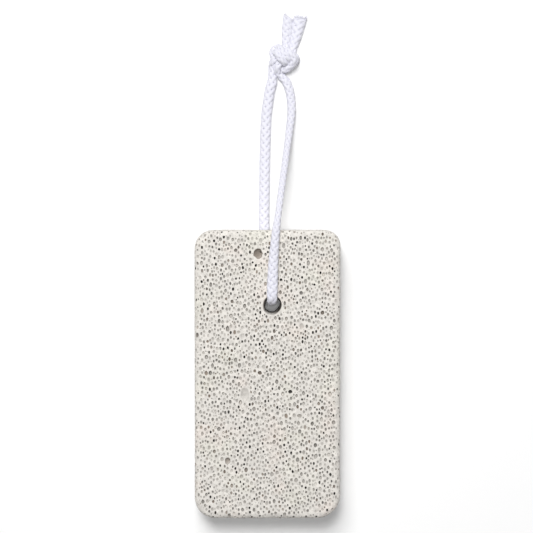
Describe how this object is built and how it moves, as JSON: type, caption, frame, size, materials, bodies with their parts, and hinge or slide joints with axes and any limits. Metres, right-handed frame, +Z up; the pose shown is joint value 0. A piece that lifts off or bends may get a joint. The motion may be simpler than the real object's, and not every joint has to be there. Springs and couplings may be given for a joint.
{
  "type": "pumice stone",
  "caption": "Flat rectangular pumice stone with rounded corners, drilled near one end and hung on a soft braided cord whose ends are tied in an overhand knot.",
  "frame": {"origin": "bottom centre of the stone's box, on the surface that the stone and its cord lie on", "axes": "+Y along the stone's length towards the hole and the knot, +X across its width, +Z up"},
  "size_m": [0.05, 0.1753, 0.0235],
  "materials": {
    "pumice": "matte",
    "cord_braid": "matte"
  },
  "bodies": {
    "root": {"stone": "pumice", "cord_loop": "cord_braid", "cord_knot": "cord_braid", "cord_tail_left": "cord_braid", "cord_tail_right": "cord_braid"}
  },
  "joints": []
}
